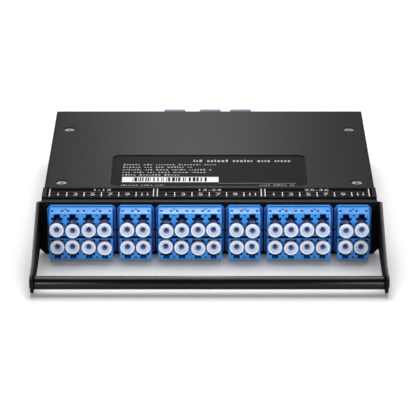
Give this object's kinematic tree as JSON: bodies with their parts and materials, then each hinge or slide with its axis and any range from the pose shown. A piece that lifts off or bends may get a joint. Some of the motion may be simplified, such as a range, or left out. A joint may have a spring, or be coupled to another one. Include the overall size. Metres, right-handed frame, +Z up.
{
  "type": "fibre cassette",
  "caption": "Flat black sheet-metal fibre cassette with rows of blue front adapters under dust plugs, rear multi-fibre adapters and a cable bar on two tapered arms.",
  "frame": {"origin": "centre of the underside of the housing", "axes": "+Z up from the base, +Y towards the rear adapters, +X to the right as seen from the front ports"},
  "size_m": [0.1398, 0.1813, 0.0232],
  "materials": {
    "housing_black": "satin black powder coat",
    "bar_black": "semi-gloss black",
    "strip_black": "fine matt",
    "label_black": "matt printed film",
    "adapter_blue": "satin moulded",
    "plug_white": "translucent moulded",
    "rear_slate": "satin moulded",
    "cap_slate": "satin moulded",
    "screw_steel": "bright plated",
    "ceramic_white": "polished",
    "inner_plug_blue": "satin moulded",
    "block_black": "matt",
    "fibre_aqua": "smooth jacket"
  },
  "bodies": {
    "root": {"alignment_sleeves": "ceramic_white", "bar_screws": "bar_black", "base_tray": "housing_black", "cable_bar": "bar_black", "cover_label": "label_black", "cover_nuts": "screw_steel", "cover_screws": "screw_steel", "fan_out_block_left": "block_black", "fan_out_block_middle": "block_black", "fan_out_block_right": "block_black", "fibre_bundle_left": "fibre_aqua", "fibre_bundle_middle": "fibre_aqua", "fibre_bundle_right": "fibre_aqua", "fibre_fan_left": "fibre_aqua", "fibre_fan_middle": "fibre_aqua", "fibre_fan_right": "fibre_aqua", "front_panel": "housing_black", "lower_duplex_adapter_2": "adapter_blue", "lower_duplex_adapter_4": "adapter_blue", "lower_duplex_adapter_6": "adapter_blue", "lower_dust_plugs_1": "plug_white", "lower_dust_plugs_2": "plug_white", "lower_dust_plugs_3": "plug_white", "lower_dust_plugs_4": "plug_white", "lower_dust_plugs_5": "plug_white", "lower_dust_plugs_6": "plug_white", "lower_inner_plugs": "inner_plug_blue", "lower_quad_adapter_1": "adapter_blue", "lower_quad_adapter_3": "adapter_blue", "lower_quad_adapter_5": "adapter_blue", "port_label_strip": "strip_black", "port_number_insert": "label_black", "rear_adapter_left": "rear_slate", "rear_adapter_middle": "rear_slate", "rear_adapter_right": "rear_slate", "rear_dust_cap_left": "cap_slate", "rear_dust_cap_middle": "cap_slate", "rear_dust_cap_right": "cap_slate", "rear_inner_plug_left": "inner_plug_blue", "rear_inner_plug_middle": "inner_plug_blue", "rear_inner_plug_right": "inner_plug_blue", "top_cover": "housing_black", "upper_duplex_adapter_2": "adapter_blue", "upper_duplex_adapter_4": "adapter_blue", "upper_duplex_adapter_6": "adapter_blue", "upper_dust_plugs_1": "plug_white", "upper_dust_plugs_2": "plug_white", "upper_dust_plugs_3": "plug_white", "upper_dust_plugs_4": "plug_white", "upper_dust_plugs_5": "plug_white", "upper_dust_plugs_6": "plug_white", "upper_inner_plugs": "inner_plug_blue", "upper_quad_adapter_1": "adapter_blue", "upper_quad_adapter_3": "adapter_blue", "upper_quad_adapter_5": "adapter_blue"}
  },
  "joints": []
}
